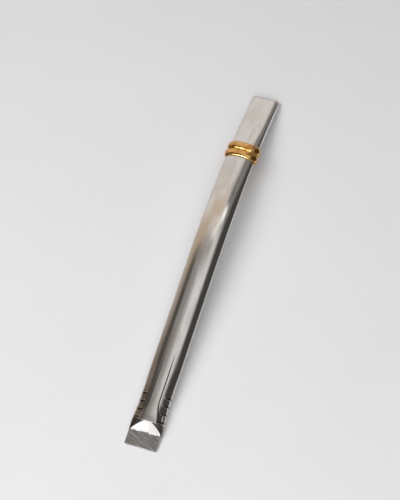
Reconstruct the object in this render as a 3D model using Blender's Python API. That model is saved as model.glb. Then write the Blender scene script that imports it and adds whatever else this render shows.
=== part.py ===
"""Metal drinking straw with a strainer end and a pair of brass rings.

One round steel tube is pressed into an oval, bent near its flat mouth end and pinched shut
into a blade at its strainer end, where saw cuts in both folded edges let the drink in.
The straw lies arched on a table: the mouth points to +Y, the blade to -Y, and +Z is up.
The origin is on the table under the middle of the straw's length. Sizes are in metres.
"""

import math

import bmesh
import bpy
import numpy as np
from mathutils import Matrix

# The tube before it is shaped
TUBE_LENGTH = 0.1900  # along the bent centre line
TUBE_DIAMETER = 0.0095  # outside, while it is still round
TUBE_WALL = 0.0005

# How far it is pressed: outer heights of the oval, and how square its shoulders are
MOUTH_HEIGHT = 0.0036
STEM_HEIGHT = 0.0043
NECK_HEIGHT = 0.0048  # just before the blade, where the tube is roundest
MOUTH_SQUARENESS = 6.0  # 2 is an ellipse, more is a flat top with round edges
STEM_SQUARENESS = 2.4
MOUTH_FLAT_END = 0.025  # where the mouth's section starts to change, from the mouth
STEM_START = 0.080  # where the stem's section is reached, from the mouth
NECK_START = 0.040  # where the neck starts to swell, from the blade's tip
NECK_END = 0.024  # where the neck is roundest, from the blade's tip

# The bend
BEND_ANGLE = math.radians(26.3)
BEND_MIDDLE = 0.0603  # from the mouth, along the tube
BEND_LENGTH = 0.1138

# The pinched end
BLADE_LENGTH = 0.0064
BLADE_THICKNESS = 0.0011
RAMP_LENGTH = 0.0054
ANVIL_RISE = 0.0005  # how far the blade's underside is lifted above the stem's
BLADE_FLANK = 0.0016  # half height that the folded edges would have beside the blade
FLARE_LENGTH = 0.0140  # along which the tube widens to the blade's width
CAVITY_GAP = 0.0003  # opening between the walls where the cavity ends on the ramp

# The saw cuts
SLOT_COUNT = 4  # in each edge
SLOT_WIDTH = 0.0006
SLOT_DEPTH = 0.0026
SLOT_PITCH = 0.0036
LAST_SLOT_TO_TIP = 0.0122

# The rings
RING_WIDTH = 0.0045
RING_CROWN = 0.0008
RING_CLEARANCE = 0.0003  # between a ring and the tube, and between the two rings
FIRST_RING_TO_MOUTH = 0.0380  # to the middle of the ring's width

# Fineness of the solids
ROUND_STEPS = 32
RING_ROUND_STEPS = 48
RING_PROFILE_STEPS = 8
BEND_ROWS = 22
STEM_ROWS = 6
FLARE_ROWS = 5
RAMP_ROWS = 5
CURVE_SAMPLES = 2000

SMOOTH_ANGLE = math.radians(35)


def ease(value, start, end):
    """Rise from 0 at start to 1 at end along a smooth S curve."""
    share = np.clip((np.asarray(value, dtype=float) - start) / (end - start), 0.0, 1.0)
    return share * share * (3.0 - 2.0 * share)


def blend(value, start, end, low, high):
    """Go from low at start to high at end along the S curve."""
    return low + (high - low) * ease(value, start, end)


def oval(angles, half_width, half_height, squareness):
    """Return x and z of an oval: x is a sine, z is the height left under a squared arch."""
    sine = np.sin(angles)
    x = half_width * sine
    rise = np.sqrt(np.clip(1.0 - np.abs(sine) ** squareness, 0.0, None))
    return x, half_height * rise * np.sign(np.cos(angles))


def oval_perimeter(half_width, half_height, squareness):
    """Return the length of each oval's outline, one for each entry of the arrays."""
    angles = np.linspace(0.0, 2.0 * np.pi, 721)[:, None]
    x, z = oval(angles, half_width, half_height, squareness)
    return np.sum(np.hypot(np.diff(x, axis=0), np.diff(z, axis=0)), axis=0)


def pressed_half_width(half_height, squareness):
    """Find the half width that keeps the round tube's perimeter when it is pressed."""
    target = math.pi * TUBE_DIAMETER
    low = np.full_like(half_height, 0.25 * TUBE_DIAMETER)
    high = np.full_like(half_height, 0.8 * TUBE_DIAMETER)
    for _ in range(40):
        middle = 0.5 * (low + high)
        too_short = oval_perimeter(middle, half_height, squareness) < target
        low = np.where(too_short, middle, low)
        high = np.where(too_short, high, middle)
    return 0.5 * (low + high)


class Section:
    """The tube's cross-section at any distance from the mouth."""

    ramp_start = TUBE_LENGTH - BLADE_LENGTH - RAMP_LENGTH
    ramp_end = TUBE_LENGTH - BLADE_LENGTH

    def __init__(self, distance):
        """Work out the section's sizes for an array of distances from the mouth."""
        distance = np.asarray(distance, dtype=float)
        height = blend(distance, MOUTH_FLAT_END, STEM_START, MOUTH_HEIGHT, STEM_HEIGHT)
        neck = ease(distance, TUBE_LENGTH - NECK_START, TUBE_LENGTH - NECK_END)
        height = height + (NECK_HEIGHT - STEM_HEIGHT) * neck
        self.squareness = blend(
            distance, MOUTH_FLAT_END, STEM_START, MOUTH_SQUARENESS, STEM_SQUARENESS
        )
        oval_width = pressed_half_width(0.5 * height, self.squareness)
        blade_width = (math.pi * TUBE_DIAMETER - math.pi * BLADE_THICKNESS) / 4.0
        blade_width += 0.5 * BLADE_THICKNESS
        flare = ease(distance, self.ramp_end - FLARE_LENGTH, self.ramp_end)
        self.half_width = oval_width + (blade_width - oval_width) * flare
        ramp = np.clip((distance - self.ramp_start) / RAMP_LENGTH, 0.0, 1.0)
        half_height = 0.5 * height
        self.flank = half_height + (BLADE_FLANK - half_height) * (1.0 - (1.0 - ramp) ** 2)
        self.limit = half_height + (0.5 * BLADE_THICKNESS - half_height) * ramp
        self.middle = (0.5 * BLADE_THICKNESS + ANVIL_RISE - half_height) * ramp

    def outline(self, angles, inset=0.0):
        """Return x and z of the outline, moved inwards by inset; rows are sections."""
        x, z = oval(
            angles[None, :],
            (self.half_width - inset)[:, None],
            (self.flank - inset)[:, None],
            self.squareness[:, None],
        )
        limit = (self.limit - inset)[:, None]
        return x, self.middle[:, None] + np.clip(z, -limit, limit)


class CentreLine:
    """The bent centre line, laid so that the mouth and the blade's tip touch the table."""

    def __init__(self):
        """Integrate the slope along the tube, then tip the curve onto its two supports."""
        self.distance = np.linspace(0.0, TUBE_LENGTH, CURVE_SAMPLES)
        start = BEND_MIDDLE - 0.5 * BEND_LENGTH
        self.slope = BEND_ANGLE * (1.0 - ease(self.distance, start, start + BEND_LENGTH))
        step = self.distance[1] - self.distance[0]
        run = 0.5 * (np.cos(self.slope[1:]) + np.cos(self.slope[:-1])) * step
        climb = 0.5 * (np.sin(self.slope[1:]) + np.sin(self.slope[:-1])) * step
        self.y = -np.concatenate([[0.0], np.cumsum(run)])
        self.z = np.concatenate([[0.0], np.cumsum(climb)])
        ends = Section([0.0, TUBE_LENGTH])
        _, bottom = ends.outline(np.array([math.pi]))
        feet = self.place(np.zeros(2), np.array([0.0, TUBE_LENGTH]), bottom[:, 0])
        self.tip_over(math.atan2(feet[0, 2] - feet[1, 2], feet[0, 1] - feet[1, 1]))
        _, top = ends.outline(np.array([0.0]))
        feet = self.place(np.zeros(2), np.array([0.0, TUBE_LENGTH]), bottom[:, 0])
        heads = self.place(np.zeros(2), np.array([0.0, TUBE_LENGTH]), top[:, 0])
        self.z = self.z - feet[0, 2]
        self.y = self.y - 0.5 * (heads[0, 1] + heads[1, 1])

    def tip_over(self, angle):
        """Turn the curve about the X axis so that a line at this slope becomes level."""
        cosine, sine = math.cos(angle), math.sin(angle)
        y, z = self.y, self.z
        self.y = cosine * y + sine * z
        self.z = cosine * z - sine * y
        self.slope = self.slope + angle

    def place(self, x, distance, height):
        """Turn x, distance from the mouth and height above the centre line into points."""
        slope = np.interp(distance, self.distance, self.slope)
        y = np.interp(distance, self.distance, self.y) + height * np.sin(slope)
        z = np.interp(distance, self.distance, self.z) + height * np.cos(slope)
        return np.stack(np.broadcast_arrays(x, y, z), axis=-1)

    def slope_at(self, distance):
        """Return the tube's slope at a distance from the mouth."""
        return float(np.interp(distance, self.distance, self.slope))


def finished_object(name, bm, material):
    """Make an object from a bmesh, with outward faces and smooth shading."""
    bmesh.ops.recalc_face_normals(bm, faces=bm.faces)
    mesh = bpy.data.meshes.new(name)
    bm.to_mesh(mesh)
    bm.free()
    mesh.shade_smooth()
    mesh.set_sharp_from_angle(angle=SMOOTH_ANGLE)
    mesh.materials.append(material)
    part = bpy.data.objects.new(name, mesh)
    bpy.context.collection.objects.link(part)
    return part


def metal(name, colour, roughness):
    """Make a metal material."""
    material = bpy.data.materials.new(name)
    material.use_nodes = True
    shader = material.node_tree.nodes["Principled BSDF"]
    shader.inputs["Base Color"].default_value = (*colour, 1.0)
    shader.inputs["Metallic"].default_value = 1.0
    shader.inputs["Roughness"].default_value = roughness
    return material


def add_rows(bm, rows):
    """Add each row of points as a closed loop of vertices."""
    return [[bm.verts.new(point) for point in row] for row in rows]


def join_rows(bm, first, second):
    """Close the band between two loops with quads."""
    count = len(first)
    for index in range(count):
        after = (index + 1) % count
        bm.faces.new((first[index], first[after], second[after], second[index]))


def tube_rows():
    """Return the distances from the mouth at which the tube has a row of vertices."""
    bend_end = BEND_MIDDLE + 0.5 * BEND_LENGTH
    flare_start = Section.ramp_end - FLARE_LENGTH
    return np.concatenate([
        np.linspace(0.0, bend_end, BEND_ROWS, endpoint=False),
        np.linspace(bend_end, flare_start, STEM_ROWS, endpoint=False),
        np.linspace(flare_start, Section.ramp_start, FLARE_ROWS, endpoint=False),
        np.linspace(Section.ramp_start, Section.ramp_end, RAMP_ROWS),
        [TUBE_LENGTH],
    ])


def cavity_rows():
    """Return the rows of the bore, which ends where the two walls have nearly met."""
    half_neck = 0.5 * NECK_HEIGHT
    closing = half_neck - TUBE_WALL - 0.5 * CAVITY_GAP
    end = Section.ramp_start + RAMP_LENGTH * closing / (half_neck - 0.5 * BLADE_THICKNESS)
    rows = tube_rows()
    return np.append(rows[rows < end - 0.1 * RAMP_LENGTH], end)


def build_tube(line, material):
    """Build the hollow tube, open at the mouth and closed at the blade."""
    angles = np.linspace(0.0, 2.0 * np.pi, ROUND_STEPS, endpoint=False)
    bm = bmesh.new()
    skins = []
    for distances, inset in ((tube_rows(), 0.0), (cavity_rows(), TUBE_WALL)):
        x, z = Section(distances).outline(angles, inset)
        loops = add_rows(bm, line.place(x, distances[:, None], z))
        for first, second in zip(loops, loops[1:]):
            join_rows(bm, first, second)
        bm.faces.new(loops[-1])
        skins.append(loops)
    join_rows(bm, skins[0][0], skins[1][0])
    return finished_object("straw_tube", bm, material)


def slot_distances():
    """Return the distance of each saw cut from the mouth."""
    last = TUBE_LENGTH - LAST_SLOT_TO_TIP
    return [last - SLOT_PITCH * index for index in range(SLOT_COUNT)]


def cut_slots(line, tube):
    """Saw the slots into both folded edges of the tube."""
    bm = bmesh.new()
    reach = TUBE_DIAMETER
    for distance in slot_distances():
        half_width = float(Section([distance]).half_width[0])
        for side in (-1.0, 1.0):
            x = side * (half_width - SLOT_DEPTH + 0.5 * reach)
            centre = line.place(np.array(x), np.array(distance), np.array(0.0))
            corners = bmesh.ops.create_cube(bm, size=1.0)["verts"]
            bmesh.ops.scale(bm, verts=corners, vec=(reach, SLOT_WIDTH, 2.0 * reach))
            tilt = Matrix.Rotation(-line.slope_at(distance), 3, "X")
            bmesh.ops.rotate(bm, verts=corners, cent=(0.0, 0.0, 0.0), matrix=tilt)
            bmesh.ops.translate(bm, verts=corners, vec=centre)
    mesh = bpy.data.meshes.new("slot_cutter")
    bm.to_mesh(mesh)
    bm.free()
    cutter = bpy.data.objects.new("slot_cutter", mesh)
    cutter.hide_render = True
    cutter.display_type = "WIRE"
    bpy.context.collection.objects.link(cutter)
    cut = tube.modifiers.new("saw cuts", "BOOLEAN")
    cut.operation = "DIFFERENCE"
    cut.solver = "EXACT"
    cut.object = cutter


def build_ring(name, line, middle, material):
    """Build one half-round ring whose bore follows the tube with a small clearance."""
    angles = np.linspace(0.0, 2.0 * np.pi, RING_ROUND_STEPS, endpoint=False)
    turn = np.linspace(0.0, np.pi, RING_PROFILE_STEPS + 1)
    offsets = -0.5 * RING_WIDTH * np.cos(turn)
    rises = RING_CLEARANCE + RING_CROWN * np.sin(turn)
    inner = offsets[-2:0:-1]
    offsets = np.concatenate([offsets, inner])
    rises = np.concatenate([rises, np.full(len(inner), RING_CLEARANCE)])
    distances = middle + offsets
    x, z = Section(distances).outline(angles)
    along_x = np.roll(x, -1, axis=1) - np.roll(x, 1, axis=1)
    along_z = np.roll(z, -1, axis=1) - np.roll(z, 1, axis=1)
    length = np.hypot(along_x, along_z)
    x = x - rises[:, None] * along_z / length
    z = z + rises[:, None] * along_x / length
    bm = bmesh.new()
    loops = add_rows(bm, line.place(x, distances[:, None], z))
    for first, second in zip(loops, loops[1:] + loops[:1]):
        join_rows(bm, first, second)
    return finished_object(name, bm, material)


def main():
    """Clear the scene and build the straw."""
    for leftover in list(bpy.data.objects):
        bpy.data.objects.remove(leftover, do_unlink=True)
    steel = metal("stainless_steel", (0.62, 0.61, 0.60), 0.25)
    brass = metal("brass", (0.78, 0.53, 0.20), 0.22)
    line = CentreLine()
    tube = build_tube(line, steel)
    cut_slots(line, tube)
    ring_pitch = RING_WIDTH + RING_CLEARANCE
    build_ring("upper_ring", line, FIRST_RING_TO_MOUTH, brass)
    build_ring("lower_ring", line, FIRST_RING_TO_MOUTH + ring_pitch, brass)


main()
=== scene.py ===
"""Steel drinking straw with a strainer end and two brass rings, built and dressed for rendering.

The straw is one round steel tube pressed into an oval, bent near its flat mouth and pinched
shut into a blade, with saw cuts in both folded edges. Two half-round brass rings sit below the
mouth. Sizes are in metres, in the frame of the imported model: the mouth points to +Y, the blade
to -Y, +Z is up, and the straw lies on the plane where Z is 0.
"""

import logging
import math
from dataclasses import dataclass, field
from enum import Enum
from typing import Any

import bmesh
import bpy
import numpy as np
from mathutils import Matrix, Vector


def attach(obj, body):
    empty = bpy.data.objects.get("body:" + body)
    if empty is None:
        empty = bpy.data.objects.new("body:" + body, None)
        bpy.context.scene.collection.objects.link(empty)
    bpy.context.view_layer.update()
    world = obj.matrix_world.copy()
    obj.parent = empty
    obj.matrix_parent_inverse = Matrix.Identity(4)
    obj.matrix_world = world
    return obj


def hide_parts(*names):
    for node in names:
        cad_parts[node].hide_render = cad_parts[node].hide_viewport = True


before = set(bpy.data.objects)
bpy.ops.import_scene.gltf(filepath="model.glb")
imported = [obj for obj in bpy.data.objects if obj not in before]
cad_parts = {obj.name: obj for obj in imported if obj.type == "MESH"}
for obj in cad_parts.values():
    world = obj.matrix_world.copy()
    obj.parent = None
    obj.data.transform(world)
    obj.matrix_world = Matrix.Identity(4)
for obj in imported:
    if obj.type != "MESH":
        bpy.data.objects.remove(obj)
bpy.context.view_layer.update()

LOG = logging.getLogger("straw")

ROOT_BODY = "root"
MERGE_DISTANCE = 1e-8
SHARP_ANGLE = math.radians(30)


class RingPlace(Enum):
    """The two places for a ring: the CAD node that it stands for, and its turn from the mouth."""

    UPPER = ("upper_ring", 0)
    LOWER = ("lower_ring", 1)


def ease(value: np.ndarray, start: float, end: float) -> np.ndarray:
    """Rise along a smooth S curve: share squared times three minus twice the share.

    Args:
        value: Where the curve is read.
        start: Value at which the curve is 0.
        end: Value at which the curve is 1.

    Returns:
        The curve's height, from 0 to 1.
    """
    share = np.clip((np.asarray(value, dtype=float) - start) / (end - start), 0.0, 1.0)
    return share * share * (3.0 - 2.0 * share)


def bell(value: np.ndarray, width: float | np.ndarray) -> np.ndarray:
    """Give the bell curve, e to the power of minus the square of value over width.

    Args:
        value: Distance from the bell's middle.
        width: Distance at which the bell has dropped to about a third.

    Returns:
        The bell's height, from 0 to 1.
    """
    return np.exp(-np.square(value / width))


def linear(code: str) -> tuple[float, float, float, float]:
    """Turn an sRGB hex colour into linear light.

    Args:
        code: Six hex digits.

    Returns:
        Red, green, blue and an alpha of 1.
    """
    parts = np.array([int(code[at:at + 2], 16) for at in (0, 2, 4)]) / 255.0
    low = parts / 12.92
    high = ((parts + 0.055) / 1.055) ** 2.4
    red, green, blue = np.where(parts <= 0.04045, low, high)
    return float(red), float(green), float(blue), 1.0


def add_node(
    tree: bpy.types.NodeTree,
    kind: str,
    inputs: dict[int | str, Any] | None = None,
    **settings: Any,
) -> bpy.types.Node:
    """Add a node, give it its settings, and set or link its inputs.

    Args:
        tree: The node tree to add to.
        kind: The node's type, without its ShaderNode prefix.
        inputs: Values or output sockets, by input name or number.
        **settings: Attributes of the node.

    Returns:
        The new node.
    """
    node = tree.nodes.new("ShaderNode" + kind)
    for name, value in settings.items():
        setattr(node, name, value)
    for key, value in (inputs or {}).items():
        if isinstance(value, bpy.types.NodeSocket):
            tree.links.new(value, node.inputs[key])
        else:
            node.inputs[key].default_value = value
    return node


def new_material(name: str) -> tuple[bpy.types.Material, bpy.types.NodeTree, bpy.types.Node]:
    """Make a material with only a Principled shader and its output.

    Args:
        name: The material's name.

    Returns:
        The material, its node tree and its Principled node.
    """
    material = bpy.data.materials.new(name)
    material.use_nodes = True
    tree = material.node_tree
    return material, tree, tree.nodes["Principled BSDF"]


@dataclass(frozen=True)
class SatinSteel:
    """Cold-drawn stainless steel tube, polished along its length with a fine abrasive belt.

    The belt leaves hair lines along the tube that stretch each highlight across it, handling
    leaves faint smudges, the saw leaves dull, darker metal beside each cut, and the pinching die
    leaves dull, darker metal on the blade. Painted shade darkens the bore, the mouth's lip and the
    metal beside the ramp, a painted shadow line lies at the ramp's foot, and painted brown shade
    and reflection cover one side near the saw cuts.
    """

    clean: str = "DCDAD8"
    smudged: str = "D0CCC8"
    # Dark grey: metal dulled by the saw beside each cut, and painted shade in the bore, on the
    # lip, beside the ramp and at its foot.
    sawn_and_shade: str = "4E4842"
    pinched: str = "C8C7C5"
    pinched_dark: str = "9A9795"
    # Brown painted on the flank near the saw cuts as shade and a brown reflection.
    painted_shade: str = "8F8172"
    hair_line_width: float = 0.00022  # coarser than a real belt mark, so that it shows
    hair_line_length: float = 0.0300
    scratch_width: float = 0.00045
    scratch_length: float = 0.0120
    smudge_width: float = 0.0040
    smudge_length: float = 0.0220
    pit_size: float = 0.00045
    die_mark_width: float = 0.00055  # coarser than the real drag marks, so that they show
    die_mark_length: float = 0.0050
    die_mark_turn: float = math.radians(65)  # the die was dragged slantwise off the blade
    polish: float = 0.10  # roughness of clean steel

    def material(self) -> bpy.types.Material:
        """Build the steel, which reads the tube's UV map in metres and its wear and painted shade
        attributes.

        Returns:
            The finished material.
        """
        material, tree, shader = new_material("stainless_steel_satin_polished")
        surface = add_node(tree, "UVMap", uv_map="surface").outputs[0]
        place = add_node(tree, "TexCoord").outputs["Object"]
        sawn_and_shade = add_node(tree, "Attribute", attribute_name="sawn_and_shade").outputs["Fac"]
        pinched = add_node(tree, "Attribute", attribute_name="pinched").outputs["Fac"]
        painted_shade = add_node(tree, "Attribute", attribute_name="painted_shade").outputs["Fac"]
        across, along = 1.0 / self.hair_line_width, 1.0 / self.hair_line_length
        lines_at = add_node(tree, "Mapping", {"Vector": surface, "Scale": (across, along, 1.0)})
        lines = add_node(tree, "TexNoise", {
            "Vector": lines_at.outputs[0], "Scale": 1.0, "Detail": 3.0, "Roughness": 0.6,
        }).outputs["Fac"]
        across, along = 1.0 / self.scratch_width, 1.0 / self.scratch_length
        marks_at = add_node(tree, "Mapping", {"Vector": surface, "Scale": (across, along, 1.0)})
        marks = add_node(tree, "TexNoise", {
            "Vector": marks_at.outputs[0], "Scale": 1.0, "Detail": 1.0, "Distortion": 0.4,
        }).outputs["Fac"]
        scratches = add_node(tree, "MapRange", {
            "Value": marks, "From Min": 0.64, "From Max": 0.72, "To Min": 0.0, "To Max": 1.0,
        }, interpolation_type="SMOOTHSTEP").outputs[0]
        across, along = 1.0 / self.smudge_width, 1.0 / self.smudge_length
        rubbed_at = add_node(tree, "Mapping", {"Vector": surface, "Scale": (across, along, 1.0)})
        smudges = add_node(tree, "TexNoise", {
            "Vector": rubbed_at.outputs[0], "Scale": 1.0, "Detail": 3.0, "Distortion": 0.3,
        }).outputs["Fac"]
        smudge = add_node(tree, "MapRange", {
            "Value": smudges, "From Min": 0.42, "From Max": 0.68,
        }, interpolation_type="SMOOTHSTEP").outputs[0]
        pits = add_node(tree, "TexNoise", {
            "Vector": place, "Scale": 1.0 / self.pit_size, "Detail": 2.0, "Roughness": 0.6,
        }).outputs["Fac"]

        across, along = 1.0 / self.die_mark_width, 1.0 / self.die_mark_length
        dragged_at = add_node(tree, "Mapping", {
            "Vector": surface, "Rotation": (0.0, 0.0, self.die_mark_turn),
        })
        dragged_at = add_node(tree, "Mapping", {
            "Vector": dragged_at.outputs[0], "Scale": (across, along, 1.0),
        })
        dragged = add_node(tree, "TexNoise", {
            "Vector": dragged_at.outputs[0], "Scale": 1.0, "Detail": 2.0, "Roughness": 0.6,
        }).outputs["Fac"]

        colour = add_node(tree, "Mix", {
            "Factor": smudge, 6: linear(self.clean), 7: linear(self.smudged),
        }, data_type="RGBA").outputs[2]
        streaks = add_node(tree, "MapRange", {
            "Value": dragged, "From Min": 0.38, "From Max": 0.62,
        }, interpolation_type="SMOOTHSTEP").outputs[0]
        blade = add_node(tree, "Mix", {
            "Factor": streaks, 6: linear(self.pinched), 7: linear(self.pinched_dark),
        }, data_type="RGBA").outputs[2]
        # Painted brown shade and reflection on the flank near the saw cuts, broken up by the
        # smudges.
        shade_cover = add_node(tree, "Math", {0: smudge, 1: 0.5, 2: 0.7}, operation="MULTIPLY_ADD")
        shade_cover = add_node(tree, "Math", {0: shade_cover.outputs[0], 1: painted_shade},
                        operation="MULTIPLY", use_clamp=True).outputs[0]
        colour = add_node(tree, "Mix", {
            "Factor": shade_cover, 6: colour, 7: linear(self.painted_shade),
        }, data_type="RGBA").outputs[2]
        colour = add_node(tree, "Mix", {
            "Factor": pinched, 6: colour, 7: blade,
        }, data_type="RGBA").outputs[2]
        # Dark metal beside the saw cuts, and painted shade in the bore, on the lip, beside the
        # ramp and at its foot.
        colour = add_node(tree, "Mix", {
            "Factor": sawn_and_shade, 6: colour, 7: linear(self.sawn_and_shade),
        }, data_type="RGBA").outputs[2]
        tree.links.new(colour, shader.inputs["Base Color"])

        rough = add_node(tree, "MapRange", {
            "Value": lines, "To Min": self.polish - 0.03, "To Max": self.polish + 0.05,
        }).outputs[0]
        rough = add_node(tree, "Math", {0: smudge, 1: 0.05, 2: rough},
                         operation="MULTIPLY_ADD").outputs[0]
        rough = add_node(tree, "Math", {0: pinched, 1: 0.20, 2: rough},
                         operation="MULTIPLY_ADD").outputs[0]
        rough = add_node(tree, "Math", {0: sawn_and_shade, 1: 0.30, 2: rough},
                         operation="MULTIPLY_ADD", use_clamp=True).outputs[0]
        tree.links.new(rough, shader.inputs["Roughness"])

        lined = add_node(tree, "Bump", {
            "Height": lines, "Strength": 0.35, "Distance": 0.000010,
        }).outputs[0]
        scratched = add_node(tree, "Bump", {
            "Height": scratches, "Strength": 0.45, "Distance": 0.000012, "Normal": lined,
        }, invert=True).outputs[0]
        coarse = add_node(tree, "Math", {0: pits, 1: dragged}).outputs[0]
        mottle = add_node(tree, "Math", {0: coarse, 1: pinched}, operation="MULTIPLY").outputs[0]
        mottled = add_node(tree, "Bump", {
            "Height": mottle, "Strength": 0.8, "Distance": 0.000060, "Normal": scratched,
        }).outputs[0]
        tree.links.new(mottled, shader.inputs["Normal"])
        shader.inputs["Metallic"].default_value = 1.0
        return material


@dataclass(frozen=True)
class HandPolishedBrass:
    """Half-round brass wire, brazed on and polished by hand.

    The rag brightens the crown and leaves fine marks round the ring, while brown tarnish stays
    in the grooves beside it.
    """

    bright: str = "E6B670"
    deep: str = "C08A44"
    tarnish: str = "4A2C12"
    rub_width: float = 0.00025  # coarser than real rag marks, so that they show
    rub_length: float = 0.0070
    blotch_size: float = 0.0025
    polish: float = 0.12  # roughness of the crown

    def material(self) -> bpy.types.Material:
        """Build the brass, which reads the ring's UV map in metres and its tarnish attribute.

        Returns:
            The finished material.
        """
        material, tree, shader = new_material("brass_hand_polished")
        surface = add_node(tree, "UVMap", uv_map="surface").outputs[0]
        place = add_node(tree, "TexCoord").outputs["Object"]
        groove = add_node(tree, "Attribute", attribute_name="tarnish").outputs["Fac"]
        round_it, over_it = 1.0 / self.rub_length, 1.0 / self.rub_width
        rubs_at = add_node(tree, "Mapping", {"Vector": surface, "Scale": (round_it, over_it, 1.0)})
        rubs = add_node(tree, "TexNoise", {
            "Vector": rubs_at.outputs[0], "Scale": 1.0, "Detail": 3.0, "Roughness": 0.6,
        }).outputs["Fac"]
        blotches = add_node(tree, "TexNoise", {
            "Vector": place, "Scale": 1.0 / self.blotch_size, "Detail": 3.0, "Distortion": 0.5,
        }).outputs["Fac"]
        blotch = add_node(tree, "MapRange", {
            "Value": blotches, "From Min": 0.40, "From Max": 0.68,
        }, interpolation_type="SMOOTHSTEP").outputs[0]
        edge = add_node(tree, "Math", {0: blotches, 1: 0.5, 2: groove},
                        operation="MULTIPLY_ADD").outputs[0]
        stain = add_node(tree, "MapRange", {
            "Value": edge, "From Min": 0.95, "From Max": 1.25,
        }, interpolation_type="SMOOTHSTEP").outputs[0]
        colour = add_node(tree, "Mix", {
            "Factor": blotch, 6: linear(self.bright), 7: linear(self.deep),
        }, data_type="RGBA").outputs[2]
        colour = add_node(tree, "Mix", {
            "Factor": stain, 6: colour, 7: linear(self.tarnish),
        }, data_type="RGBA").outputs[2]
        tree.links.new(colour, shader.inputs["Base Color"])
        rough = add_node(tree, "MapRange", {
            "Value": rubs, "To Min": self.polish - 0.04, "To Max": self.polish + 0.06,
        }).outputs[0]
        rough = add_node(tree, "Math", {0: stain, 1: 0.30, 2: rough},
                         operation="MULTIPLY_ADD", use_clamp=True).outputs[0]
        tree.links.new(rough, shader.inputs["Roughness"])
        rubbed = add_node(tree, "Bump", {
            "Height": rubs, "Strength": 0.4, "Distance": 0.000012,
        }).outputs[0]
        dented = add_node(tree, "Bump", {
            "Height": blotches, "Strength": 0.4, "Distance": 0.000040, "Normal": rubbed,
        }).outputs[0]
        tree.links.new(dented, shader.inputs["Normal"])
        shader.inputs["Metallic"].default_value = 1.0
        return material


@dataclass(frozen=True)
class PaleBoard:
    """Smooth matt board under the straw, with the faint cloudiness of pressed paper."""

    light: str = "F1F1F2"
    shade: str = "ECECEE"
    cloud_size: float = 0.060

    def material(self) -> bpy.types.Material:
        """Build the board from a large soft noise in two near whites.

        Returns:
            The finished material.
        """
        material, tree, shader = new_material("matt_white_board")
        place = add_node(tree, "TexCoord").outputs["Object"]
        clouds = add_node(tree, "TexNoise", {
            "Vector": place, "Scale": 1.0 / self.cloud_size, "Detail": 2.0,
        }).outputs["Fac"]
        colour = add_node(tree, "Mix", {
            "Factor": clouds, 6: linear(self.light), 7: linear(self.shade),
        }, data_type="RGBA").outputs[2]
        tree.links.new(colour, shader.inputs["Base Color"])
        shader.inputs["Roughness"].default_value = 0.75
        shader.inputs["Specular IOR Level"].default_value = 0.2
        return material


@dataclass(frozen=True)
class TubeSizes:
    """Sizes of the steel tube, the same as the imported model's, and the marks on its surface."""

    length: float = 0.1900
    diameter: float = 0.0095
    wall: float = 0.0005
    mouth_height: float = 0.0036
    stem_height: float = 0.0043
    neck_height: float = 0.0048
    mouth_squareness: float = 6.0
    stem_squareness: float = 2.4
    mouth_flat_end: float = 0.025
    stem_start: float = 0.080
    neck_start: float = 0.040
    neck_end: float = 0.024
    bend_angle: float = math.radians(26.3)
    bend_middle: float = 0.0603
    bend_length: float = 0.1138
    blade_length: float = 0.0064
    blade_thickness: float = 0.0011
    ramp_length: float = 0.0054
    anvil_rise: float = 0.0005
    blade_flank: float = 0.0016
    flare_length: float = 0.0140
    cavity_gap: float = 0.0003
    slot_count: int = 4
    slot_width: float = 0.0006
    slot_depth: float = 0.0026
    slot_pitch: float = 0.0036
    last_slot_to_tip: float = 0.0122
    mouth_corner: float = 0.0007  # radius of the mouth's corners, seen from above
    blade_corner: float = 0.0009  # radius of the blade's corners, seen from above
    blade_edge: float = 0.0002  # radius along the blade's front edge
    seam_opening: float = 0.00010  # between the two walls at the blade's front edge
    seam_depth: float = 0.0005
    crown_from: float = 0.018  # where the flat mouth's top starts to round, from the mouth
    crown_to: float = 0.045
    ramp_trim: float = 0.0005  # the die's own ramp is this much shorter at each end
    pinch_skew: float = 0.04  # how much the pinched end's lines run aslant
    burr_height: float = 0.00006
    burr_width: float = 0.00012

    @property
    def ramp_end(self) -> float:
        """Distance from the mouth at which the blade begins."""
        return self.length - self.blade_length

    @property
    def ramp_start(self) -> float:
        """Distance from the mouth at which the die's ramp begins."""
        return self.ramp_end - self.ramp_length

    @property
    def cavity_end(self) -> float:
        """Distance from the mouth at which the bore has closed to the cavity gap.

        Returns:
            The place along the ramp where the two inner faces are a cavity gap apart.
        """
        half_neck = 0.5 * self.neck_height
        closing = half_neck - self.wall - 0.5 * self.cavity_gap
        return self.ramp_start + self.ramp_length * closing / (
            half_neck - 0.5 * self.blade_thickness
        )

    @property
    def slots(self) -> np.ndarray:
        """Distance of each saw cut from the mouth."""
        return self.length - self.last_slot_to_tip - self.slot_pitch * np.arange(self.slot_count)


def oval(
    angles: np.ndarray, half_width: np.ndarray, half_height: np.ndarray, squareness: np.ndarray
) -> tuple[np.ndarray, np.ndarray]:
    """Give the points of an oval.

    x is the half width times the sine. z is the half height times the square root of one minus
    the sine's size to the power of the squareness, above or below as the cosine says.

    Args:
        angles: Turn round the oval, from its top.
        half_width: Half of the width.
        half_height: Half of the height.
        squareness: 2 is an ellipse, and more is a flat top with round edges.

    Returns:
        The x and z of the points.
    """
    sine = np.sin(angles)
    rise = np.sqrt(np.clip(1.0 - np.abs(sine) ** squareness, 0.0, None))
    return half_width * sine, half_height * rise * np.sign(np.cos(angles))


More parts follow.
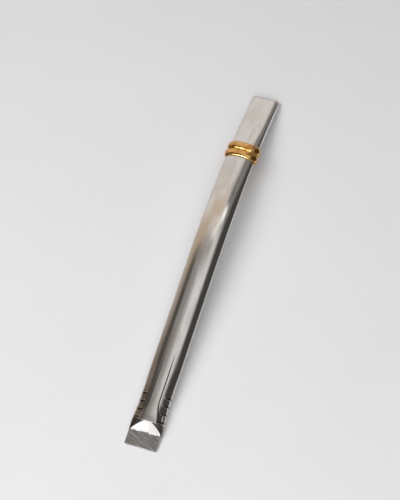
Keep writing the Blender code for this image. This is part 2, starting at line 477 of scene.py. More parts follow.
@dataclass
class TubeForm:
    """The pressed, bent and pinched tube's shape as a function of distance, turn and inset."""

    sizes: TubeSizes = field(default_factory=TubeSizes)
    samples: int = 2000
    perimeter_steps: int = 721
    bisections: int = 40

    def __post_init__(self) -> None:
        """Integrate the slope along the tube, and lay the curve on its two ends.

        The slope falls along an S curve from the bend angle to zero. The middle line is the
        running sum of its cosine and sine, then turned so that both ends touch the table.
        """
        size = self.sizes
        self.distance = np.linspace(0.0, size.length, self.samples)
        start = size.bend_middle - 0.5 * size.bend_length
        turn = 1.0 - ease(self.distance, start, start + size.bend_length)
        self.slope = size.bend_angle * turn
        step = self.distance[1]
        cosine, sine = np.cos(self.slope), np.sin(self.slope)
        self.y = -np.append(0.0, np.cumsum(0.5 * (cosine[1:] + cosine[:-1]) * step))
        self.z = np.append(0.0, np.cumsum(0.5 * (sine[1:] + sine[:-1]) * step))
        ends = np.array([0.0, size.length])
        bottom = self.section(ends, np.zeros(2), np.array([math.pi]))[1][:, 0]
        top = self.section(ends, np.zeros(2), np.array([0.0]))[1][:, 0]
        feet = self.place(np.zeros(2), ends, bottom)
        self.tip_over(math.atan2(feet[0, 2] - feet[1, 2], feet[0, 1] - feet[1, 1]))
        feet = self.place(np.zeros(2), ends, bottom)
        heads = self.place(np.zeros(2), ends, top)
        self.z = self.z - feet[0, 2]
        self.y = self.y - 0.5 * (heads[0, 1] + heads[1, 1])

    def tip_over(self, angle: float) -> None:
        """Turn the middle line about the X axis.

        Args:
            angle: The slope that becomes level.
        """
        cosine, sine = math.cos(angle), math.sin(angle)
        y, z = self.y, self.z
        self.y = cosine * y + sine * z
        self.z = cosine * z - sine * y
        self.slope = self.slope + angle

    def place(self, x: np.ndarray, distance: np.ndarray, height: np.ndarray) -> np.ndarray:
        """Turn places on the tube into points in space.

        The point lies on the middle line at that distance, raised by height at right angles to
        it: y grows by height times the slope's sine, and z by height times its cosine.

        Args:
            x: Sideways place.
            distance: Distance from the mouth along the tube.
            height: Height above the middle line.

        Returns:
            Points, with x, y and z along the last axis.
        """
        slope = np.interp(distance, self.distance, self.slope)
        y = np.interp(distance, self.distance, self.y) + height * np.sin(slope)
        z = np.interp(distance, self.distance, self.z) + height * np.cos(slope)
        return np.stack(np.broadcast_arrays(x, y, z), axis=-1)

    def pressed_half_width(self, half_height: np.ndarray, squareness: np.ndarray) -> np.ndarray:
        """Find the half width that keeps the round tube's perimeter, by halving a range.

        Args:
            half_height: Half height of each section.
            squareness: Squareness of each section.

        Returns:
            Half width of each section.
        """
        angles = np.linspace(0.0, 2.0 * np.pi, self.perimeter_steps)[:, None]
        low = np.full_like(half_height, 0.25 * self.sizes.diameter)
        high = np.full_like(half_height, 0.8 * self.sizes.diameter)
        for _ in range(self.bisections):
            middle = 0.5 * (low + high)
            x, z = oval(angles, middle, half_height, squareness)
            perimeter = np.hypot(np.diff(x, axis=0), np.diff(z, axis=0)).sum(axis=0)
            short = perimeter < math.pi * self.sizes.diameter
            low, high = np.where(short, middle, low), np.where(short, high, middle)
        return 0.5 * (low + high)

    def half_width(self, distance: np.ndarray) -> np.ndarray:
        """Give the tube's half width, which flares to the flattened blade's.

        Args:
            distance: Distances from the mouth.

        Returns:
            Half width at each distance.
        """
        size = self.sizes
        height, squareness = self.height(distance), self.squareness(distance)
        width = self.pressed_half_width(0.5 * height, squareness)
        blade = 0.25 * math.pi * (size.diameter - size.blade_thickness)
        blade += 0.5 * size.blade_thickness
        flare = ease(distance, size.ramp_end - size.flare_length, size.ramp_end)
        return width + (blade - width) * flare

    def height(self, distance: np.ndarray) -> np.ndarray:
        """Give the outer height, low at the mouth and highest at the neck before the blade.

        Args:
            distance: Distances from the mouth.

        Returns:
            Height of the oval at each distance.
        """
        size = self.sizes
        opened = ease(distance, size.mouth_flat_end, size.stem_start)
        neck = ease(distance, size.length - size.neck_start, size.length - size.neck_end)
        stem = size.mouth_height + (size.stem_height - size.mouth_height) * opened
        return stem + (size.neck_height - size.stem_height) * neck

    def squareness(self, distance: np.ndarray) -> np.ndarray:
        """Give the oval's squareness, square at the mouth and nearly an ellipse on the stem.

        Args:
            distance: Distances from the mouth.

        Returns:
            Squareness at each distance.
        """
        size = self.sizes
        opened = ease(distance, size.mouth_flat_end, size.stem_start)
        return size.mouth_squareness + (size.stem_squareness - size.mouth_squareness) * opened

    def crown_squareness(self, distance: np.ndarray) -> np.ndarray:
        """Give the outline's squareness, which falls sooner than the squareness of its width.

        Args:
            distance: Distances from the mouth.

        Returns:
            Squareness at each distance.
        """
        size = self.sizes
        rounded = ease(distance, size.crown_from, size.crown_to)
        return size.mouth_squareness + (size.stem_squareness - size.mouth_squareness) * rounded

    def corner_pull(self, distance: np.ndarray) -> np.ndarray:
        """Give how far the edges draw in near the ends, along a quarter circle.

        Args:
            distance: Distances from the mouth.

        Returns:
            Radius minus the circle's height, near each end, and 0 elsewhere.
        """
        size = self.sizes
        pull = np.zeros_like(distance)
        for radius, gap in (
            (size.mouth_corner, distance),
            (size.blade_corner, size.length - distance),
        ):
            short = np.clip(radius - gap, 0.0, radius)
            pull = pull + radius - np.sqrt(radius * radius - short * short)
        return pull

    def section(
        self, distance: np.ndarray, inset: np.ndarray, angles: np.ndarray
    ) -> tuple[np.ndarray, np.ndarray]:
        """Give the outline of each section.

        The outline is an oval, cut off above and below by two planes that close along the ramp
        to the blade's thickness, while the oval itself sinks to the blade's flank.

        Args:
            distance: Distance of each section from the mouth.
            inset: How far each section lies inside the outer surface.
            angles: Turns round the section.

        Returns:
            The x and the height of the points, one row for each section.
        """
        size = self.sizes
        half = 0.5 * self.height(distance)[:, None]
        inset = inset[:, None]
        width = (self.half_width(distance) - self.corner_pull(distance))[:, None] - inset
        ramp = self.ramp_share(width * np.sin(angles)[None, :], distance)
        flank = half + (size.blade_flank - half) * (1.0 - (1.0 - ramp) ** 2)
        limit = half + (0.5 * size.blade_thickness - half) * ramp
        middle = (0.5 * size.blade_thickness + size.anvil_rise - half) * ramp
        squareness = self.crown_squareness(distance)[:, None]
        x, z = oval(angles[None, :], width, flank - inset, squareness)
        limit = np.clip(limit - inset, 0.0, None)
        return x, middle + np.clip(z, -limit, limit)

    def ramp_share(self, x: np.ndarray, distance: np.ndarray) -> np.ndarray:
        """Give how far down the die's ramp each place lies; the ramp runs a little aslant.

        Args:
            x: Sideways places, one row for each distance.
            distance: Distance of each row.

        Returns:
            0 before the ramp, 1 on the blade.
        """
        size = self.sizes
        lean = size.pinch_skew * ease(distance, size.ramp_start, size.ramp_end)[:, None]
        place = distance[:, None] + lean * x - size.ramp_start - size.ramp_trim
        return np.clip(place / (size.ramp_length - 2.0 * size.ramp_trim), 0.0, 1.0)


def push_out(
    x: np.ndarray, z: np.ndarray, amount: np.ndarray
) -> tuple[np.ndarray, np.ndarray]:
    """Move closed outlines along their outward normals.

    The normal at a point is the line between its two neighbours, turned a quarter.

    Args:
        x: Sideways places, one row for each outline.
        z: Heights, in the same order.
        amount: How far each point moves.

    Returns:
        The moved x and z.
    """
    along_x = np.roll(x, -1, axis=1) - np.roll(x, 1, axis=1)
    along_z = np.roll(z, -1, axis=1) - np.roll(z, 1, axis=1)
    length = np.clip(np.hypot(along_x, along_z), 1e-12, None)
    return x - amount * along_z / length, z + amount * along_x / length


def grid_faces(first: np.ndarray, second: np.ndarray) -> np.ndarray:
    """Give the quads between two sets of rows, closed round.

    Args:
        first: Vertex numbers, one row for each band of quads.
        second: Vertex numbers of the next row in each band.

    Returns:
        Quads of four vertex numbers, with the shape of the rows before the last axis.
    """
    return np.stack(
        [first, np.roll(first, -1, axis=1), np.roll(second, -1, axis=1), second], axis=-1
    )


def finished_piece(
    name: str,
    points: np.ndarray,
    faces: np.ndarray,
    uvs: np.ndarray,
    attributes: dict[str, np.ndarray],
    material: bpy.types.Material,
) -> bpy.types.Object:
    """Put arrays into a mesh, weld its seams, and make it a smooth closed piece.

    Args:
        name: The piece's name.
        points: Vertices.
        faces: Quads of vertex numbers.
        uvs: UV place of each corner of each quad.
        attributes: A value for each vertex, by attribute name.
        material: The piece's material.

    Returns:
        The piece, with its place in its mesh.
    """
    mesh = bpy.data.meshes.new(name)
    mesh.from_pydata(points.tolist(), [], faces.tolist())
    layer = mesh.uv_layers.new(name="surface")
    layer.data.foreach_set("uv", uvs.reshape(-1).astype(np.float32))
    for key, values in attributes.items():
        made = mesh.attributes.new(key, "FLOAT", "POINT")
        made.data.foreach_set("value", values.reshape(-1).astype(np.float32))
    bm = bmesh.new()
    bm.from_mesh(mesh)
    loose = [vertex for vertex in bm.verts if not vertex.link_faces]
    bmesh.ops.delete(bm, geom=loose, context="VERTS")
    bmesh.ops.remove_doubles(bm, verts=bm.verts, dist=MERGE_DISTANCE)
    bmesh.ops.dissolve_degenerate(bm, edges=bm.edges, dist=MERGE_DISTANCE)
    bmesh.ops.recalc_face_normals(bm, faces=bm.faces)
    bm.to_mesh(mesh)
    bm.free()
    mesh.shade_smooth()
    mesh.set_sharp_from_angle(angle=SHARP_ANGLE)
    mesh.materials.append(material)
    piece = bpy.data.objects.new(name, mesh)
    bpy.context.scene.collection.objects.link(piece)
    return piece


@dataclass
class StrawTube:
    """The steel tube with its rounded lip, saw cuts, die marks and pinched blade."""

    form: TubeForm
    columns: int = 200
    stem_step: float = 0.0020
    neck_step: float = 0.0008
    fine_step: float = 0.00025
    neck_from: float = 0.130
    fine_from: float = 0.1650
    crease_x: float = 0.00208  # sideways place of the die's mark along the neck
    crease_spread: float = 0.0020  # how much further out it ends, beside the ramp
    crease_spread_from: float = 0.1695
    crease_spread_to: float = 0.1800
    crease_from: float = 0.138
    crease_full: float = 0.160
    crease_depth: float = 0.00012
    crease_width: float = 0.00017
    crease_deepens: float = 1.6  # how much deeper the step is beside the ramp, as a part of it
    crease_widens: float = 1.2  # and how much wider
    crease_end: float = 0.0010  # stretch past the ramp's start in which the step fades out
    crease_reach: float = 0.0020  # how far outside the right step the metal keeps falling
    crease_fall: float = 0.6  # how much further it falls there, as a part of the step
    left_share: float = 0.35  # the left mark is this much shallower
    shade_from: float = 0.115  # where the painted brown shade starts, from the mouth
    shade_full: float = 0.172
    right_shade: float = 0.25  # share of the painted brown shade on the right side
    row_gap: float = 0.00010  # no even row lies nearer than this to a row that a feature needs
    edge_start: float = 0.72  # part of the half width at which both steps begin to come back
    edge_end: float = 0.96
    shade_start: float = 0.42  # part of the half width at which the painted brown shade begins
    shade_end: float = 0.86
    beside_ramp_shade: float = 0.9  # painted shade on the metal beside the ramp
    foot_shadow: float = 0.7  # painted shadow line at the ramp's foot
    foot_shadow_width: float = 0.0003
    patch_length: float = 0.0024  # of the dulled patch above the ramp
    patch_width: float = 0.0032
    patch_share: float = 0.75

    def distances(self) -> np.ndarray:
        """Give the distances of the rows that both skins share.

        Rows lie at an even step in each of three stretches, with one more at each edge of each
        saw cut and beside it, and none nearer to those than a tenth of a millimetre.

        Returns:
            Distances from the mouth, in order.
        """
        size = self.form.sizes
        steps = np.concatenate([
            np.arange(0.5 * size.wall, self.neck_from, self.stem_step),
            np.arange(self.neck_from, self.fine_from, self.neck_step),
            np.arange(self.fine_from, size.length - size.blade_edge, self.fine_step),
        ])
        beside = np.array([-2.5, -1.2, 0.0]) * size.burr_width - 0.5 * size.slot_width
        offsets = np.concatenate([beside, -beside])
        cuts = (size.slots[:, None] + offsets[None, :]).reshape(-1)
        kept = np.concatenate([
            cuts, [size.ramp_start, size.ramp_end, size.length - size.blade_edge],
            [size.ramp_start + size.ramp_trim, size.ramp_end - size.ramp_trim],
        ])
        near = np.abs(steps[:, None] - kept[None, :]).min(axis=1) < self.row_gap
        inside = np.abs(steps[:, None] - size.slots[None, :]).min(axis=1) < 0.5 * size.slot_width
        return np.sort(np.concatenate([steps[~(near | inside)], kept]))

    def crease_depths(self, x: np.ndarray, distance: np.ndarray) -> np.ndarray:
        """Give the depth of the two steps that the pinching die has pressed into the top.

        Each step drops quickly along an S curve across the tube. Outside the right one the metal
        keeps falling in proportion to the distance, and both come back along an S curve before
        the tube's edge. The step keeps to one place along the neck, then moves out beside the
        ramp, where it is also wider and deeper. It ends where the ramp begins.

        Args:
            x: Sideways places, one row for each distance.
            distance: Distance of each row.

        Returns:
            Depth at each point.
        """
        out = ease(distance, self.crease_spread_from, self.crease_spread_to)[:, None]
        middle = self.crease_x + self.crease_spread * out
        width = self.crease_width * (1.0 + self.crease_widens * out)
        ramp_start = self.form.sizes.ramp_start
        fade = 1.0 - ease(distance, ramp_start, ramp_start + self.crease_end)
        depth = fade * self.crease_depth * ease(distance, self.crease_from, self.crease_full)
        depth = depth[:, None] * (1.0 + self.crease_deepens * out)
        right = ease((x - middle) / width, -1.0, 1.0)
        right = right * (1.0 + self.crease_fall * np.clip((x - middle) / self.crease_reach, 0, 1))
        left = ease((-x - middle) / width, -2.0, 2.0)
        aside = np.abs(x) / self.form.half_width(distance)[:, None]
        edge = 1.0 - ease(aside, self.edge_start, self.edge_end)
        return depth * edge * (right + self.left_share * left)

    def burr_heights(self, x: np.ndarray, distance: np.ndarray) -> np.ndarray:
        """Give the height of the burr that the saw has thrown up beside each cut.

        Args:
            x: Sideways places, one row for each distance.
            distance: Distance of each row.

        Returns:
            A bell of distance from the cut's edge, only where the cut reaches.
        """
        size = self.form.sizes
        gap = np.abs(distance[:, None] - size.slots[None, :]).min(axis=1) - 0.5 * size.slot_width
        reach = self.form.half_width(distance) - size.slot_depth
        over = ease(np.abs(x) - reach[:, None], -0.0002, 0.0002)
        return size.burr_height * bell(gap, size.burr_width)[:, None] * over

    def build(self, material: bpy.types.Material) -> bpy.types.Object:
        """Build the tube as one closed skin.

        The skin is one grid. Its rows run from the end of the bore to the mouth along the
        inside, round the lip, and back along the outside to the seam in the blade's front edge.
        Cells inside a saw cut are left out, and walls join the two skins round each cut.

        Args:
            material: The tube's steel.

        Returns:
            The finished piece.
        """
        size = self.form.sizes
        shared = self.distances()
        bore = shared[shared < size.cavity_end - self.row_gap]
        lip = np.linspace(np.pi, 0.0, 10)[1:-1]
        lip_radius = 0.5 * size.wall
        edge = np.linspace(0.0, 0.5 * np.pi, 5)[1:]
        half_blade = 0.5 * size.blade_thickness
        seam = half_blade - 0.5 * size.seam_opening
        seam_depths = np.array([0.0, 0.1, 1.0, 1.0]) * size.seam_depth
        seam_insets = np.array([0.0, 0.4, 0.6, 1.0]) * (half_blade - seam) + seam
        distance = np.concatenate([
            [size.cavity_end + size.cavity_gap, size.cavity_end], bore[::-1],
            lip_radius * (1.0 - np.sin(lip)), shared,
            size.length - size.blade_edge * (1.0 - np.sin(edge)),
            size.length - seam_depths,
        ])
        inset = np.concatenate([
            [half_blade + size.cavity_gap, size.wall], np.full(len(bore), size.wall),
            lip_radius * (1.0 - np.cos(lip)), np.zeros(len(shared)),
            size.blade_edge * (1.0 - np.cos(edge)), seam_insets,
        ])
        angles = 2.0 * np.pi * np.arange(self.columns) / self.columns
        x, z = self.form.section(distance, inset, angles)
        outer_first = 2 + len(bore) + len(lip)
        outside = (np.arange(len(distance)) >= outer_first)[:, None]
        top = np.cos(angles)[None, :] > 0.0
        z = z - np.where(outside & top, self.crease_depths(x, distance), 0.0)
        x, z = push_out(x, z, np.where(outside, self.burr_heights(x, distance), 0.0))
        points = self.form.place(x, distance[:, None], z)

        number = np.arange(points.shape[0] * self.columns).reshape(-1, self.columns)
        inner = number[2:2 + len(bore)][::-1]
        outer = number[outer_first:outer_first + len(shared)]
        cut = self.cut_cells(shared, angles)
        kept = np.ones((len(number) - 1, self.columns), dtype=bool)
        kept[outer_first:outer_first + len(cut)] = ~cut
        bore_cut = cut[:len(bore) - 1]
        kept[2:2 + len(bore_cut)] = ~bore_cut[::-1]
        quads = grid_faces(number[:-1], number[1:])[kept]
        quads = np.concatenate([quads, self.cut_walls(bore_cut, outer, inner)])

        around = np.broadcast_to(angles * 0.5 * size.diameter, x.shape).reshape(-1)
        along = np.broadcast_to((distance + inset)[:, None], x.shape).reshape(-1)
        u = around[quads]
        far = u.max(axis=1, keepdims=True) - u > 0.5 * math.pi * size.diameter
        u = u + np.where(far, math.pi * size.diameter, 0.0)
        uvs = np.stack([u, along[quads]], axis=-1)
        # Painted shade beside the ramp and a painted shadow line at its foot, joined with the
        # darkening beside the saw cuts.
        folded = self.ramp_shade_share(x, distance, angles)
        sawn_and_shade = np.maximum(self.sawn_and_shade_share(x, distance, outside), folded)
        pinched = self.pinched_share(x, distance)
        return finished_piece("pressed_steel_tube", points.reshape(-1, 3), quads, uvs, {
            "sawn_and_shade": sawn_and_shade, "pinched": np.where(outside, pinched, 0.0),
            "painted_shade": self.painted_shade_share(x, distance),
        }, material)

    def cut_cells(self, shared: np.ndarray, angles: np.ndarray) -> np.ndarray:
        """Say which cells of the grid the saw has taken away.

        Args:
            shared: Distances of the rows that both skins share.
            angles: Turns of the columns.

        Returns:
            True for each cell within a cut, one row for each band between two distances.
        """
        size = self.form.sizes
        middle = 0.5 * (shared[1:] + shared[:-1])
        gap = np.abs(middle[:, None] - size.slots[None, :]).min(axis=1)
        half_width = self.form.half_width(middle)
        turn = angles + 0.5 * (angles[1] - angles[0])
        reach = 1.0 - size.slot_depth / half_width
        deep = np.abs(np.sin(turn))[None, :] > reach[:, None]
        return (gap < 0.5 * size.slot_width)[:, None] & deep

    @staticmethod
    def cut_walls(cut: np.ndarray, outer: np.ndarray, inner: np.ndarray) -> np.ndarray:
        """Give the quads that join the outer and the inner skin round each saw cut.

        An edge between a cell that is cut and one that isn't carries one wall.

        Args:
            cut: True for each cell that is cut away.
            outer: Vertex numbers of the outer skin, one row for each distance.
            inner: Vertex numbers of the inner skin, in the same order.

        Returns:
            Quads of vertex numbers.
        """
        row, column = np.nonzero(cut != np.roll(cut, -1, axis=1))
        after = (column + 1) % cut.shape[1]
        sides = np.stack([
            outer[row, after], outer[row + 1, after], inner[row + 1, after], inner[row, after],
        ], axis=-1)
        row, column = np.nonzero(cut[1:] != cut[:-1])
        after = (column + 1) % cut.shape[1]
        row = row + 1
        ends = np.stack([
            outer[row, column], outer[row, after], inner[row, after], inner[row, column],
        ], axis=-1)
        return np.concatenate([sides, ends])

    def sawn_and_shade_share(self, x: np.ndarray, distance: np.ndarray, outside: np.ndarray) -> np.ndarray:
        """Give how dark the metal is painted: all of the bore and a band at the mouth's lip as
        painted shade, and a narrow band of metal dulled by the saw beside each cut.

        Args:
            x: Sideways places, one row for each distance.
            distance: Distance of each row.
            outside: True for the rows of the outer skin.

        Returns:
            A share from 0 to 1 for each vertex.
        """
        size = self.form.sizes
        gap = np.abs(distance[:, None] - size.slots[None, :]).min(axis=1) - 0.5 * size.slot_width
        reach = self.form.half_width(distance) - size.slot_depth
        over = ease(np.abs(x) - reach[:, None], -0.0003, 0.0002)
        beside = 0.35 * bell(np.clip(gap, 0.0, None), 0.0002)[:, None] * over
        # Painted shade inside the bore.
        bore = ease(distance, 0.0, 0.006)[:, None]
        # Painted darker band along the mouth's lip.
        lip = 0.45 * (1.0 - ease(distance, 0.00005, 0.00045))[:, None]
        return np.where(outside, np.clip(beside + lip, 0.0, 1.0), bore)

    def ramp_shade_share(
        self, x: np.ndarray, distance: np.ndarray, angles: np.ndarray
    ) -> np.ndarray:
        """Give painted shade on the metal beside the ramp, and a painted shadow line at the ramp's
        foot.

        Args:
            x: Sideways places, one row for each distance.
            distance: Distance of each row.
            angles: Turns of the columns.

        Returns:
            A share from 0 to 1 for each vertex.
        """
        size = self.form.sizes
        ramp = self.form.ramp_share(x, distance)
        half = 0.5 * self.form.height(distance)[:, None]
        flank = half + (size.blade_flank - half) * (1.0 - (1.0 - ramp) ** 2)
        limit = half + (0.5 * size.blade_thickness - half) * ramp
        squareness = self.form.crown_squareness(distance)[:, None]
        _, z = oval(angles[None, :], np.ones_like(ramp), flank, squareness)
        above = ease(limit - np.abs(z), 0.0, 0.00004)
        # Painted shade on the metal beside the ramp.
        beside = self.beside_ramp_shade * above * ease(ramp, 0.0, 0.01) * (1.0 - ease(ramp, 0.93, 1.0))
        # Painted shadow line at the ramp's foot.
        foot = bell((ramp - 1.0) * size.ramp_length, self.foot_shadow_width) * (ramp < 1.0)
        return np.maximum(beside, self.foot_shadow * foot)

    def pinched_share(self, x: np.ndarray, distance: np.ndarray) -> np.ndarray:
        """Give how much the die has dulled the metal: the blade, and a patch above the ramp.

        Args:
            x: Sideways places, one row for each distance.
            distance: Distance of each row.

        Returns:
            A share from 0 to 1 for each vertex.
        """
        size = self.form.sizes
        blade = ease(self.form.ramp_share(x, distance), 0.97, 1.0)
        above = size.ramp_start + 0.0002 - distance[:, None]
        along = np.where(above > 0.0, above, 4.0 * above)
        patch = bell(along, self.patch_length) * bell(x, self.patch_width)
        return np.clip(blade + self.patch_share * patch, 0.0, 1.0)


    def painted_shade_share(self, x: np.ndarray, distance: np.ndarray) -> np.ndarray:
        """Give how much painted brown shade and reflection lies on the tube, most on the left side
        near the saw cuts.

        Args:
            x: Sideways places, one row for each distance.
            distance: Distance of each row.

        Returns:
            A share from 0 to 1 for each vertex.
        """
        aside = x / self.form.half_width(distance)[:, None]
        side = ease(-aside, self.shade_start, self.shade_end)
        side = side + self.right_shade * ease(aside, self.shade_start, self.shade_end)
        ramp = 1.0 - ease(self.form.ramp_share(x, distance), 0.0, 0.2)
        return side * ramp * ease(distance, self.shade_from, self.shade_full)[:, None]


@dataclass
class BandRing:
    """One half-round brass ring that hugs the tube below its mouth."""

    form: TubeForm
    place: RingPlace
    first_to_mouth: float = 0.0380
    width: float = 0.0047
    pitch: float = 0.0048
    crown: float = 0.00110  # height of the crown above the tube
    seat: float = 0.00004  # how far the edges sink into the tube's surface
    skew: float = 0.0001  # how far the right end sits further from the mouth
    droop: float = 0.0003  # how far both ends hang back from the middle
    dent: float = 0.00004
    joint_depth: float = 0.00030
    joint_width: float = 0.00016
    columns: int = 240
    profile_steps: int = 28

    def build(self, material: bpy.types.Material) -> bpy.types.Object:
        """Build the ring as a half-round profile carried round the tube.

        Across the ring, the offset is minus the half width times the cosine of a half turn, and
        the rise is the crown times its sine. The flat inside lies against the tube. The ring leans
        by the skew times the turn's sine, and by the droop times its square. Shallow waves and a
        joint underneath lower the rise, so the ring stays within its CAD node.

        Args:
            material: The ring's brass.

        Returns:
            The finished piece.
        """
        node, turn_number = self.place.value
        middle = self.first_to_mouth + turn_number * self.pitch
        angles = 2.0 * np.pi * np.arange(self.columns) / self.columns
        turn = np.linspace(0.0, np.pi, self.profile_steps + 1)
        offset = -0.5 * self.width * np.cos(turn)
        share = np.sin(turn)
        inside = offset[-2:0:-4]
        offset = np.concatenate([offset, inside])
        share = np.concatenate([share, np.zeros(len(inside))])
        distance = middle + offset
        x, z = self.form.section(distance, np.zeros(len(distance)), angles)
        phase = 2.1 * turn_number
        waves = 0.5 + 0.25 * np.sin(5.0 * angles + phase) + 0.25 * np.sin(9.0 * angles - phase)
        arc = (np.mod(angles + 1.0, 2.0 * np.pi) - np.pi - 1.0) * 0.5 * self.form.sizes.diameter
        low = self.dent * waves + self.joint_depth * bell(arc, self.joint_width)
        rise = share[:, None] * (self.crown + self.seat - low[None, :]) - self.seat
        x, z = push_out(x, z, rise)
        sine = np.sin(angles)[None, :]
        lean = distance[:, None] + self.skew * sine + self.droop * sine * sine
        points = self.form.place(x, lean, z)
        number = np.arange(points.shape[0] * self.columns).reshape(-1, self.columns)
        quads = grid_faces(number, np.roll(number, -1, axis=0)).reshape(-1, 4)
        around = np.broadcast_to(angles * 0.5 * self.form.sizes.diameter, x.shape).reshape(-1)
        travel = np.append(0.0, np.cumsum(np.hypot(np.diff(offset), self.crown * np.diff(share))))
        over = np.broadcast_to(travel[:, None], x.shape).reshape(-1)
        u = around[quads]
        lap = math.pi * self.form.sizes.diameter
        u = u + np.where(u.max(axis=1, keepdims=True) - u > 0.5 * lap, lap, 0.0)
        uvs = np.stack([u, over[quads]], axis=-1)
        tarnish = np.broadcast_to((1.0 - share)[:, None], x.shape)
        name = "brass_" + node
        return finished_piece(name, points.reshape(-1, 3), quads, uvs, {
            "tarnish": tarnish,
        }, material)


@dataclass(frozen=True)
class Card:
    """A soft-edged panel in the room that the metal mirrors.

    Its four sides are given as parts of the mirrored direction: left and right sideways, near
    and far towards the back. Each side fades over its own softness.
    """

    tone: str
    left: float = -2.0
    right: float = 2.0
    near: float = -2.0
    far: float = 2.0
    soft_x: float = 0.06
    soft_y: float = 0.06
    gain: float = 1.0


@dataclass(frozen=True)
class SoftBox:
    """A square lamp that lights the board, aimed at the straw's middle."""

    name: str
    place: tuple[float, float, float]
    size: float
    power: float  # watts


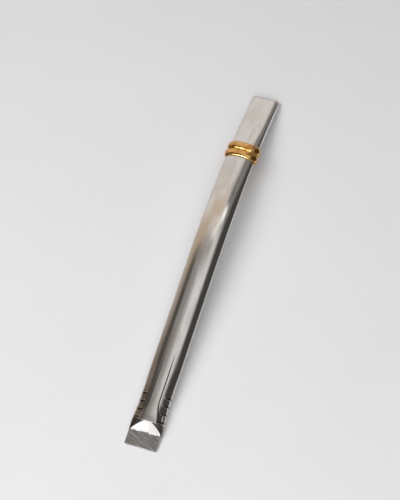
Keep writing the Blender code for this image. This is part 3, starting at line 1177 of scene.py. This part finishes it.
@dataclass
class Studio:
    """A pale board under a softly lit room, and the camera."""

    floor_size: float = 4.0
    floor_drop: float = 0.00003
    azimuth: float = math.radians(17.39)
    elevation: float = math.radians(58.05)
    distance: float = 0.850
    aim_right: float = -0.003048
    aim_up: float = 0.007045
    lens: float = 138.38
    sensor: float = 36.0
    room_strength: float = 1.55  # as the metal mirrors it
    fill_strength: float = 0.35  # as it lights the board
    backdrop: str = "E4E4E4"
    dim_room: str = "3C3A38"
    cards: tuple[Card, ...] = (
        Card("6A645E", left=0.10, right=0.40, near=0.62, soft_x=0.12, soft_y=0.10),  # corner
        Card("9E9286", right=-0.60, near=0.22, soft_x=0.16, soft_y=0.10),  # wall at the left
        Card("72706E", left=0.10, right=0.29, soft_x=0.06),  # beam beside the strip light
        Card("807C79", left=-0.36, right=-0.08, near=0.05, soft_x=0.08),  # ceiling
        Card("8A8886", near=-0.34, far=-0.12, soft_y=0.05),  # ceiling over the front
        Card("BFB9B1", right=-0.02, near=0.38, soft_x=0.10, soft_y=0.08),  # pale shelf
        Card("A89882", right=-0.32, near=0.33, far=0.47, soft_x=0.12),  # tan cloth on it
        Card("B2A08E", left=-0.44, right=-0.08, near=0.46, far=0.58, soft_x=0.10),  # its fold
        Card("C0BCB8", right=-0.04, near=0.66, soft_x=0.20, soft_y=0.09),  # wall at the back
        Card("C4C3C2", left=-0.15, right=0.21, near=0.04, far=0.29, soft_x=0.04),  # strip light
        Card("BAB8B6", left=-0.03, right=0.19, near=0.27, far=0.42, soft_x=0.05),  # its middle
        # Bend of the strip light, and its far end.
        Card("DAD7D2", left=-0.14, right=0.01, near=0.37, far=0.46, soft_x=0.04, soft_y=0.03),
        Card("F2EFEA", left=-0.03, right=0.12, near=0.45, far=0.54, soft_x=0.04, soft_y=0.03),
        Card("9C9A98", left=0.93, soft_x=0.05),  # low window at the right
        Card("FFFFFF", left=0.91, far=0.20, soft_x=0.06, soft_y=0.04, gain=1.1),  # its near half
        # Small lamp that the rings' crowns mirror, and the window that the ramp mirrors.
        Card("FFFFFF", left=-0.34, right=-0.03, near=-0.48, far=-0.40, soft_x=0.04, soft_y=0.02,
             gain=24.0),
        Card("FFFFFF", left=-0.40, right=0.50, near=-0.95, far=-0.76, soft_y=0.03, gain=1.05),
        Card("A8A6A4", far=-0.91, soft_y=0.02),  # wall at the front
    )
    lamps: tuple[SoftBox, ...] = (
        SoftBox("soft_box_left", (-0.45, -0.25, 0.85), size=0.50, power=3.2),
        SoftBox("soft_box_front", (0.16, -0.80, 0.85), size=0.80, power=6.2),
        SoftBox("soft_box_top", (-0.05, -0.28, 1.20), size=0.90, power=3.5),
    )

    def build(self) -> None:
        """Build the board, the room and its lamps, and the camera."""
        self.build_floor()
        self.build_room()
        self.build_lamps()
        self.build_camera()
        bpy.context.scene.view_settings.view_transform = "Standard"

    def build_floor(self) -> None:
        """Lay a square board just under the straw."""
        half = 0.5 * self.floor_size
        low = -self.floor_drop
        mesh = bpy.data.meshes.new("board")
        corners = [(-half, -half, low), (half, -half, low), (half, half, low), (-half, half, low)]
        mesh.from_pydata(corners, [], [(0, 1, 2, 3)])
        mesh.materials.append(PaleBoard().material())
        board = bpy.data.objects.new("board", mesh)
        bpy.context.scene.collection.objects.link(board)

    def build_room(self) -> None:
        """Paint the room that the metal mirrors.

        Each card covers what lies under it by the product of four smooth steps, one for each
        side. What the camera sees directly is a plain backdrop.
        """
        world = bpy.data.worlds.new("soft_room")
        bpy.context.scene.world = world
        world.use_nodes = True
        tree = world.node_tree
        tree.nodes.clear()
        heading = add_node(tree, "TexCoord").outputs["Generated"]
        parts = add_node(tree, "SeparateXYZ", {0: heading}).outputs
        colour = linear(self.dim_room)
        for card in self.cards:
            cover = None
            for part, place, soft in (
                (parts[0], card.left, card.soft_x), (parts[0], card.right, -card.soft_x),
                (parts[1], card.near, card.soft_y), (parts[1], card.far, -card.soft_y),
            ):
                side = add_node(tree, "MapRange", {
                    "Value": part, "From Min": place - soft, "From Max": place + soft,
                }, interpolation_type="SMOOTHSTEP").outputs[0]
                cover = side if cover is None else add_node(
                    tree, "Math", {0: cover, 1: side}, operation="MULTIPLY"
                ).outputs[0]
            red, green, blue, alpha = linear(card.tone)
            tone = (card.gain * red, card.gain * green, card.gain * blue, alpha)
            colour = add_node(tree, "Mix", {
                "Factor": cover, 6: colour, 7: tone,
            }, data_type="RGBA").outputs[2]
        paths = add_node(tree, "LightPath").outputs
        strength = add_node(tree, "MapRange", {
            "Value": paths["Is Glossy Ray"], "To Min": self.fill_strength,
            "To Max": self.room_strength,
        }).outputs[0]
        mirrored = add_node(tree, "Background", {"Color": colour, "Strength": strength})
        seen = add_node(tree, "Background", {"Color": linear(self.backdrop), "Strength": 1.0})
        both = add_node(tree, "MixShader", {
            0: paths["Is Camera Ray"], 1: mirrored.outputs[0], 2: seen.outputs[0],
        })
        add_node(tree, "OutputWorld", {"Surface": both.outputs[0]})

    def build_lamps(self) -> None:
        """Hang soft lamps that light the board and don't show in the metal."""
        for box in self.lamps:
            lamp = bpy.data.lights.new(box.name, "AREA")
            lamp.size = box.size
            lamp.energy = box.power
            holder = bpy.data.objects.new(box.name, lamp)
            holder.location = box.place
            holder.rotation_euler = Vector(box.place).to_track_quat("Z", "Y").to_euler()
            holder.visible_glossy = False
            bpy.context.scene.collection.objects.link(holder)

    def build_camera(self) -> None:
        """Set the camera at the viewing angle, aimed a little off the straw's middle.

        Right is the azimuth's cosine and sine, forward looks down by the elevation, up is their
        cross product, and the camera stands back along forward by the distance.
        """
        right = Vector((math.cos(self.azimuth), math.sin(self.azimuth), 0.0))
        forward = Vector((
            -math.sin(self.azimuth) * math.cos(self.elevation),
            math.cos(self.azimuth) * math.cos(self.elevation),
            -math.sin(self.elevation),
        ))
        up = right.cross(forward)
        place = -self.distance * forward + self.aim_right * right + self.aim_up * up
        turn = Matrix((right, up, -forward)).transposed().to_4x4()
        data = bpy.data.cameras.new("camera")
        data.lens = self.lens
        data.sensor_width = self.sensor
        data.clip_start = 0.01
        camera = bpy.data.objects.new("camera", data)
        camera.matrix_world = Matrix.Translation(place) @ turn
        bpy.context.scene.collection.objects.link(camera)
        bpy.context.scene.camera = camera


def report(piece: bpy.types.Object) -> None:
    """Log a piece's name and how many faces it has."""
    LOG.info("%s: %d faces", piece.name, len(piece.data.polygons))


def main() -> None:
    """Build the tube, the rings and the studio."""
    logging.basicConfig(level=logging.INFO, format="%(name)s %(message)s")
    form = TubeForm()
    tube = StrawTube(form).build(SatinSteel().material())
    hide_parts("straw_tube")
    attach(tube, ROOT_BODY)
    report(tube)
    brass = HandPolishedBrass().material()
    for place in RingPlace:
        ring = BandRing(form, place).build(brass)
        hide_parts(place.value[0])
        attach(ring, ROOT_BODY)
        report(ring)
    Studio().build()


if __name__ == "__main__":
    main()
